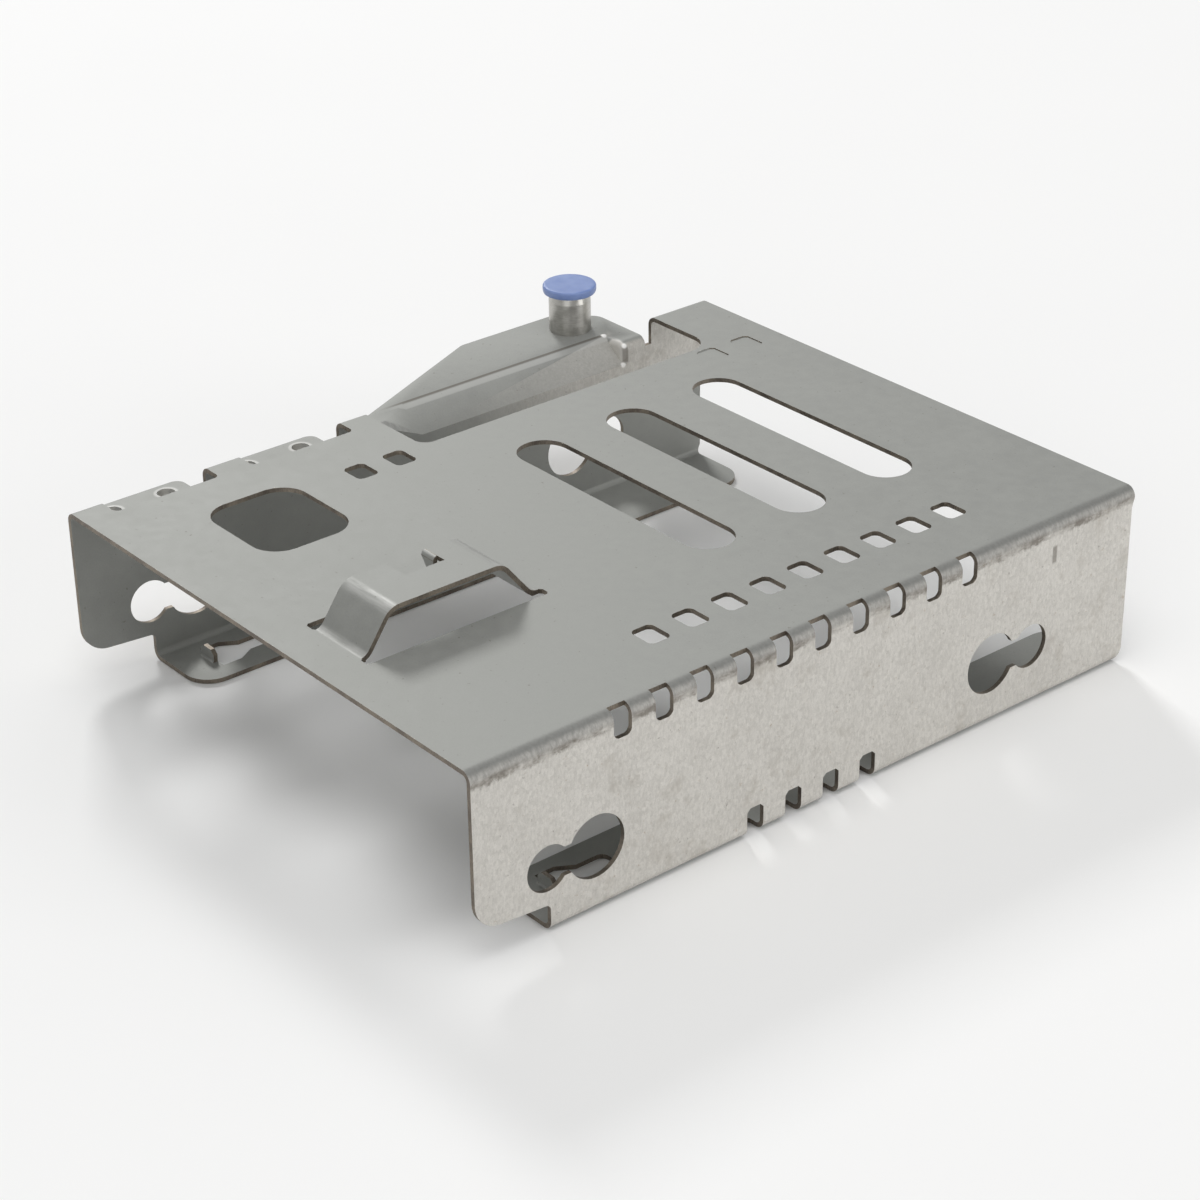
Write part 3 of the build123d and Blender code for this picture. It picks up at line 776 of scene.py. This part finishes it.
@dataclass(frozen=True)
class KnobFinish:
    """Light blue moulded plastic with a soft satin skin."""

    base: Colour = (0.170, 0.245, 0.50)
    pale: Colour = (0.215, 0.295, 0.55)

    def make(self) -> bpy.types.Material:
        """Builds the material.

        Returns:
            The material.
        """
        m = Weave("knob_plastic")
        skin = m.noise(0.14 * MM, 3.0, 0.6)
        cloud = m.noise(3.5 * MM, 2.0, 0.5)
        tone = m.span(cloud, 0.3, 0.7)
        m.join(m.blend(tone, self.base, self.pale), m.shader.inputs["Base Color"])
        m.join(m.curve(cloud, ((0.3, 0.36), (0.7, 0.46))), m.shader.inputs["Roughness"])
        m.shader.inputs["IOR"].default_value = 1.49
        m.shader.inputs["Subsurface Weight"].default_value = 0.08
        m.shader.inputs["Subsurface Radius"].default_value = (0.4, 0.5, 1.0)
        m.shader.inputs["Subsurface Scale"].default_value = 0.6 * MM
        m.relief(skin, 0.01 * MM, 0.35)
        return m.material


@dataclass
class StrapNotch:
    """Notch in the raised strap's top, with a pointed tang bent down from its back edge."""

    left: float = 15.4 * MM
    right: float = 20.4 * MM
    back: float = -40.6 * MM
    ramp_end: float = -29.1 * MM
    plate_low: float = 31.9 * MM
    thickness: float = 0.8 * MM
    tang_width: float = 3.1 * MM
    tang_bend: float = 0.7 * MM
    tang_steps: tuple[tuple[float, float, float], ...] = (
        (2.2 * MM, 0.38, 17.96 * MM),
        (0.75 * MM, 0.64, 17.60 * MM),
        (0.30 * MM, 0.50, 17.60 * MM),
    )
    near: float = 0.02 * MM
    spare: float = 0.1 * MM
    clear_reach: float = 6.0 * MM
    clear_side: float = 1.0 * MM
    clear_top: float = 0.9 * MM
    core_inset: float = 0.4 * MM
    core_top: float = 0.7 * MM
    side_foot: float = 0.2 * MM
    strap_foot: float = 4.0 * MM

    def build(self, sheet: bpy.types.Object) -> None:
        """Closes the strap behind the notch and folds the tang.

        Args:
            sheet: The sheet's merged copy, whose strap is cut away down to the plate.
        """
        self.clear_plate(sheet)
        self.close_ramp(sheet)
        self.join_foot(sheet)
        self.fold_tang(sheet)

    def combine(
        self, sheet: bpy.types.Object, operation: str, lowest: Vector, highest: Vector
    ) -> None:
        """Joins a box to the sheet or cuts it away, and cleans the flat faces.

        Args:
            sheet: The sheet's copy.
            operation: Blender's name of the Boolean operation.
            lowest: The box's lowest corner.
            highest: The box's highest corner.
        """
        middle = (lowest + highest) / 2.0
        bpy.ops.object.select_all(action="DESELECT")
        bpy.ops.mesh.primitive_cube_add(size=1.0, location=middle)
        box = bpy.context.view_layer.objects.active
        bpy.ops.object.transform_apply(location=True, rotation=False, scale=False)
        for corner in box.data.vertices:
            corner.co = [(lowest, highest)[corner.co[i] > middle[i]][i] for i in range(3)]
        only(sheet)
        step = sheet.modifiers.new("notch_step", "BOOLEAN")
        step.operation = operation
        step.solver = "EXACT"
        step.use_self = True
        step.object = box
        bpy.ops.object.modifier_apply(modifier=step.name)
        bpy.data.objects.remove(box, do_unlink=True)
        merge_flat_faces(slivers=True)

    def clear_plate(self, sheet: bpy.types.Object) -> None:
        """Takes away what stands in the plane of the plate under the strap's left side.

        Args:
            sheet: The sheet's copy.
        """
        ends = (vertex.co.y for vertex in sheet.data.vertices)
        end = min(ends, key=lambda y: abs(y - self.ramp_end))
        left, below = self.left - self.spare, self.plate_low - self.spare
        lowest = Vector((left, end - self.clear_reach, below))
        highest = Vector((self.right - self.clear_side, end, self.plate_low + self.clear_top))
        self.combine(sheet, "DIFFERENCE", lowest, highest)

    def join_foot(self, sheet: bpy.types.Object) -> None:
        """Makes the ramp's foot and the plate one, with a core inside the metal.

        Args:
            sheet: The sheet's copy.
        """
        inset, low, end = self.core_inset, self.plate_low, self.ramp_end
        lowest = Vector((self.left + inset, end - self.spare, low + inset))
        highest = Vector((self.right - inset, end + self.spare, low + self.core_top))
        self.combine(sheet, "UNION", lowest, highest)

    def close_ramp(self, sheet: bpy.types.Object) -> None:
        """Draws the strap's cut side out to its left edge behind the notch.

        Args:
            sheet: The sheet's copy.
        """
        low = self.plate_low + self.side_foot

        def cut_side(centre: Vector, normal: Vector) -> bool:
            """Tells the strap's cut side."""
            on_side = abs(centre.x - self.right) < self.near
            return normal.x < -STRAIGHT and on_side and centre.z > low

        pick_faces(sheet, cut_side)
        bpy.ops.mesh.bisect(plane_co=(0.0, self.back, 0.0), plane_no=(0.0, 1.0, 0.0))
        pick_faces(sheet, lambda centre, normal: cut_side(centre, normal) and centre.y > self.back)
        bpy.ops.mesh.extrude_region_move(
            TRANSFORM_OT_translate={"value": (self.left - self.right, 0.0, 0.0)}
        )
        bpy.ops.object.mode_set(mode="OBJECT")

    def fold_tang(self, sheet: bpy.types.Object) -> None:
        """Bends the tang down from the notch's back edge and draws it to its rounded point.

        Args:
            sheet: The sheet's copy.
        """
        split = self.left + self.tang_width
        reach = self.back - self.thickness
        low = self.plate_low + self.strap_foot

        def back_edge(centre: Vector, normal: Vector) -> bool:
            """Tells the notch's back edge."""
            return (
                normal.y < -STRAIGHT
                and abs(centre.y - self.back) < self.near
                and self.left < centre.x < self.right
                and centre.z > low
            )

        pick_faces(sheet, back_edge)
        bpy.ops.mesh.bisect(plane_co=(split, 0.0, 0.0), plane_no=(1.0, 0.0, 0.0))
        pick_faces(sheet, lambda centre, normal: back_edge(centre, normal) and centre.x < split)
        bpy.ops.mesh.extrude_region_move(
            TRANSFORM_OT_translate={"value": (0.0, -self.thickness, 0.0)}
        )
        pick_faces(
            sheet,
            lambda centre, normal: normal.z < -STRAIGHT
            and reach < centre.y < self.back
            and self.left < centre.x < split
            and centre.z > low,
        )
        for drop, share, middle in self.tang_steps:
            bpy.ops.mesh.extrude_region_move(TRANSFORM_OT_translate={"value": (0.0, 0.0, -drop)})
            bpy.ops.transform.resize(value=(share, 1.0, 1.0), center_override=(middle, 0.0, 0.0))
        bpy.ops.object.mode_set(mode="OBJECT")
        top = max(vertex.co.z for vertex in sheet.data.vertices)
        pick_edges(
            sheet,
            lambda place: abs(place.z - top) < self.near
            and abs(place.y - reach) < self.near
            and place.x < split + self.near,
        )
        bpy.ops.mesh.bevel(offset=self.tang_bend, segments=5, affect="EDGES")
        bpy.ops.object.mode_set(mode="OBJECT")


@dataclass
class FoldedSheet:
    """The folded bracket, its sheared edges softened and told apart from the coated faces."""

    thickness: float = 0.8 * MM
    roll: float = 0.09 * MM
    zinc: ZincFinish = field(default_factory=ZincFinish)
    edge: CutEdgeFinish = field(default_factory=CutEdgeFinish)
    rim: RimFinish = field(default_factory=RimFinish)
    notch: StrapNotch = field(default_factory=StrapNotch)
    strap_rise: float = 6.8 * MM
    probe_start: float = 0.02 * MM
    probe_reach: float = 1.6
    cut_share: float = 0.5
    sharp_angle: float = math.radians(50)
    smooth_angle: float = math.radians(35)

    def build(self) -> bpy.types.Object:
        """Copies the folded sheet, softens its edges and dresses it.

        Returns:
            The finished sheet.
        """
        source = frame["nodes"]["bracket"]
        only(source)
        bpy.ops.object.duplicate()
        sheet = bpy.context.view_layer.objects.active
        sheet.name = "folded_sheet"
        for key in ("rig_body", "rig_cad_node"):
            if key in sheet:
                del sheet[key]
        sheet.parent = None
        sheet.data.materials.clear()
        _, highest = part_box("bracket")
        sheet.data.materials.append(self.zinc.make(highest.z - self.strap_rise, highest.x))
        sheet.data.materials.append(self.edge.make())
        sheet.data.materials.append(self.rim.make())
        only(sheet)
        merge_flat_faces(slivers=False)
        self.notch.build(sheet)
        self.mark_cut_faces(sheet)
        self.soften(sheet)
        return sheet

    def mark_cut_faces(self, sheet: bpy.types.Object) -> None:
        """Gives the sheared faces their own material: the sheet is far thicker behind them.

        Args:
            sheet: The sheet's copy, with clean flat faces.
        """
        mesh = sheet.data
        tree = BVHTree.FromObject(sheet, bpy.context.evaluated_depsgraph_get())
        reach = self.probe_reach * self.thickness
        open_area: dict[int, float] = {}
        mesh.calc_loop_triangles()
        for part in mesh.loop_triangles:
            inward = -part.normal
            middle = sum((mesh.vertices[v].co for v in part.vertices), Vector()) / 3.0
            hit = tree.ray_cast(middle + inward * self.probe_start, inward, reach)
            if hit[0] is None:
                face = part.polygon_index
                open_area[face] = open_area.get(face, 0.0) + part.area
        cut = 0
        for face in mesh.polygons:
            if open_area.get(face.index, 0.0) > self.cut_share * face.area:
                face.material_index = 1
                cut += 1
        log.info("sheared faces: %d of %d", cut, len(mesh.polygons))

    def soften(self, sheet: bpy.types.Object) -> None:
        """Rounds the sharp edges a little and smooths the folds.

        Args:
            sheet: The sheet's copy.
        """
        only(sheet)
        bevel = sheet.modifiers.new("edge_roll", "BEVEL")
        bevel.width = self.roll
        bevel.segments = 2
        bevel.limit_method = "ANGLE"
        bevel.angle_limit = self.sharp_angle
        bevel.use_clamp_overlap = True
        bevel.harden_normals = False
        bevel.material = 2
        bpy.ops.object.modifier_apply(modifier=bevel.name)
        bpy.ops.object.shade_smooth_by_angle(angle=self.smooth_angle)
        flat = sheet.modifiers.new("flat_faces", "WEIGHTED_NORMAL")
        flat.mode = "FACE_AREA"
        flat.weight = 100
        flat.keep_sharp = True
        bpy.ops.object.modifier_apply(modifier=flat.name)


@dataclass
class LockingPin:
    """Turned parts of the locking pin: barrel, pin and spring on one upright axis."""

    barrel: TurnedFinish = TurnedFinish(
        "plated_barrel", light=(0.58, 0.57, 0.54), dark=(0.44, 0.43, 0.40), roughness=0.34
    )
    pin: TurnedFinish = TurnedFinish(
        "bare_pin", light=(0.52, 0.51, 0.48), dark=(0.36, 0.35, 0.33), roughness=0.34
    )
    spring: TurnedFinish = TurnedFinish(
        "spring_wire", light=(0.45, 0.44, 0.42), dark=(0.25, 0.25, 0.24), roughness=0.3
    )

    def dress(self, name: str, material: bpy.types.Material) -> None:
        """Puts a finish on a CAD node.

        Args:
            name: The node.
            material: Its finish.
        """
        piece = frame["nodes"][name]
        piece.data.materials.clear()
        piece.data.materials.append(material)
        log.info("%s: finish %s", name, material.name)

    def build(self) -> None:
        """Dresses the pin's turned parts."""
        self.dress("plunger_sleeve", self.barrel.make())
        self.dress("plunger_pin", self.pin.make())
        self.dress("plunger_spring", self.spring.make())


@dataclass
class Knob:
    """Moulded knob: shallow dished top, rounded rim, cone down to the barrel, socket for the stem."""

    sides: int = 96
    waist: float = 4.95 * MM
    rim: float = 1.15 * MM
    top_round: float = 0.45 * MM
    rim_round: float = 0.25 * MM
    dish_in: float = 1.0 * MM
    dish: float = 0.05 * MM
    stem: float = 1.52 * MM
    socket: float = 0.9 * MM
    smooth_angle: float = math.radians(40)
    finish: KnobFinish = field(default_factory=KnobFinish)

    def build(self) -> bpy.types.Object:
        """Models the knob from a cylinder.

        Returns:
            The finished knob.
        """
        low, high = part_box("plunger_cap")
        middle = (low + high) / 2.0
        radius = (high.x - low.x) / 2.0
        bpy.ops.object.select_all(action="DESELECT")
        bpy.ops.mesh.primitive_cylinder_add(
            vertices=self.sides, radius=radius, depth=high.z - low.z, location=middle
        )
        knob = bpy.context.view_layer.objects.active
        knob.name = "pull_knob"
        bpy.ops.object.transform_apply(location=True, rotation=False, scale=False)
        bpy.ops.object.mode_set(mode="EDIT")
        bpy.ops.mesh.select_all(action="SELECT")
        bpy.ops.mesh.bisect(
            plane_co=(middle.x, middle.y, high.z - self.rim), plane_no=(0.0, 0.0, 1.0)
        )
        foot = Vector((middle.x, middle.y, low.z))
        share = self.waist / radius
        pick_faces(knob, lambda centre, normal: normal.z < -MOSTLY)
        bpy.ops.transform.resize(value=(share, share, 1.0), center_override=foot)
        bpy.ops.mesh.inset(thickness=self.waist - self.stem)
        bpy.ops.mesh.extrude_region_move(
            TRANSFORM_OT_translate={"value": (0.0, 0.0, self.socket)}
        )
        rim_low = high.z - self.rim
        pick_faces(knob, lambda centre, normal: normal.z > MOSTLY and centre.z > rim_low)
        bpy.ops.mesh.inset(thickness=self.dish_in)
        bpy.ops.transform.translate(value=(0.0, 0.0, -self.dish))
        pick_ring(knob, high.z, radius, middle)
        bpy.ops.mesh.bevel(offset=self.top_round, segments=5, affect="EDGES")
        pick_ring(knob, rim_low, radius, middle)
        bpy.ops.mesh.bevel(offset=self.rim_round, segments=3, affect="EDGES")
        bpy.ops.object.mode_set(mode="OBJECT")
        bpy.ops.object.shade_smooth_by_angle(angle=self.smooth_angle)
        knob.data.materials.clear()
        knob.data.materials.append(self.finish.make())
        return knob


@dataclass(frozen=True)
class Softbox:
    """Square softbox: place and side in metres, power in watts."""

    name: str
    place: Triple
    side: float
    power: float

    def build(self, target: Vector) -> None:
        """Adds the softbox.

        Args:
            target: The point that it faces.
        """
        light = bpy.data.lights.new(self.name, "AREA")
        light.shape = "SQUARE"
        light.size = self.side
        light.energy = self.power
        lamp = bpy.data.objects.new(self.name, light)
        place = Vector(self.place)
        lamp.location = place
        lamp.rotation_euler = (target - place).to_track_quat("-Z", "Y").to_euler()
        bpy.context.scene.collection.objects.link(lamp)


@dataclass
class Studio:
    """Pale floor, pale room light and four softboxes."""

    floor_side: float = 6.0
    floor_drop: float = 0.1 * MM
    floor_colour: Colour = (0.92, 0.92, 0.915)
    floor_shade: float = 0.985
    floor_roughness: float = 0.9
    paper_grain: float = 0.08
    room: Colour = (1.0, 1.0, 1.0)
    room_level: float = 0.45
    target: Triple = (0.0, 0.0, 0.015)
    softboxes: tuple[Softbox, ...] = (
        Softbox("key_softbox", (-1.87, 0.79, 1.37), side=0.50, power=20.0),
        Softbox("side_softbox", (1.60, 0.80, 0.40), side=0.90, power=7.0),
        Softbox("top_softbox", (0.30, -0.40, 2.40), side=1.60, power=20.0),
        Softbox("front_softbox", (1.30, -1.70, 0.80), side=1.20, power=7.0),
    )

    def build_floor(self) -> None:
        """Builds the paper floor."""
        bpy.ops.object.select_all(action="DESELECT")
        place = (0.0, 0.0, -self.floor_drop)
        bpy.ops.mesh.primitive_plane_add(size=self.floor_side, location=place)
        floor = bpy.context.view_layer.objects.active
        floor.name = "studio_floor"
        m = Weave("studio_floor")
        paper = m.noise(self.paper_grain, 2.0, 0.5)
        shade = tuple(c * self.floor_shade for c in self.floor_colour)
        m.join(m.blend(paper, shade, self.floor_colour), m.shader.inputs["Base Color"])
        m.shader.inputs["Roughness"].default_value = self.floor_roughness
        floor.data.materials.append(m.material)

    def build(self) -> None:
        """Builds the floor, the room light and the softboxes."""
        self.build_floor()
        world = bpy.data.worlds.new("studio_room")
        world.use_nodes = True
        shade = world.node_tree.nodes["Background"]
        shade.inputs["Color"].default_value = (*self.room, 1.0)
        shade.inputs["Strength"].default_value = self.room_level
        bpy.context.scene.world = world
        for softbox in self.softboxes:
            softbox.build(Vector(self.target))


@dataclass
class PhotoCamera:
    """Camera at the photograph's viewing angle, for a frame of 1200 by 1200."""

    frame_side: float = 1200.0
    focal: float = 2923.6
    axis_x: float = 591.0
    axis_y: float = 591.3
    sensor: float = 36.0
    place: Vector = field(default_factory=lambda: Vector((345.23, -275.21, 246.76)) * MM)
    right: Vector = field(default_factory=lambda: Vector((0.63576, 0.77176, -0.01395)))
    down: Vector = field(default_factory=lambda: Vector((0.35515, -0.30852, -0.88243)))
    forward: Vector = field(default_factory=lambda: Vector((-0.68533, 0.55606, -0.47023)))

    def build(self) -> bpy.types.Object:
        """Makes the scene's camera.

        Returns:
            The camera.
        """
        data = bpy.data.cameras.new("photo_camera")
        data.sensor_fit = "HORIZONTAL"
        data.sensor_width = self.sensor
        data.lens = self.focal / self.frame_side * self.sensor
        data.shift_x = 0.5 - self.axis_x / self.frame_side
        data.shift_y = self.axis_y / self.frame_side - 0.5
        data.clip_start = 0.01
        camera = bpy.data.objects.new("photo_camera", data)
        turn = Matrix((self.right, -self.down, -self.forward)).transposed().to_4x4()
        camera.matrix_world = Matrix.Translation(self.place) @ turn
        bpy.context.scene.collection.objects.link(camera)
        bpy.context.scene.camera = camera
        return camera


def main() -> None:
    """Builds the scene in order and reports each piece."""
    logging.basicConfig(level=logging.INFO, format="%(name)s: %(message)s")
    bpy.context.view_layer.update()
    bpy.context.scene.view_settings.view_transform = "Standard"
    PhotoCamera().build()
    Studio().build()
    sheet = FoldedSheet().build()
    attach(sheet, Body.FRAME.value)
    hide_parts("bracket")
    log.info("folded_sheet: %d faces", len(sheet.data.polygons))
    LockingPin().build()
    knob = Knob().build()
    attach(knob, Body.PLUNGER.value)
    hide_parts("plunger_cap")
    log.info("pull_knob: %d faces", len(knob.data.polygons))


if __name__ == "__main__":
    main()
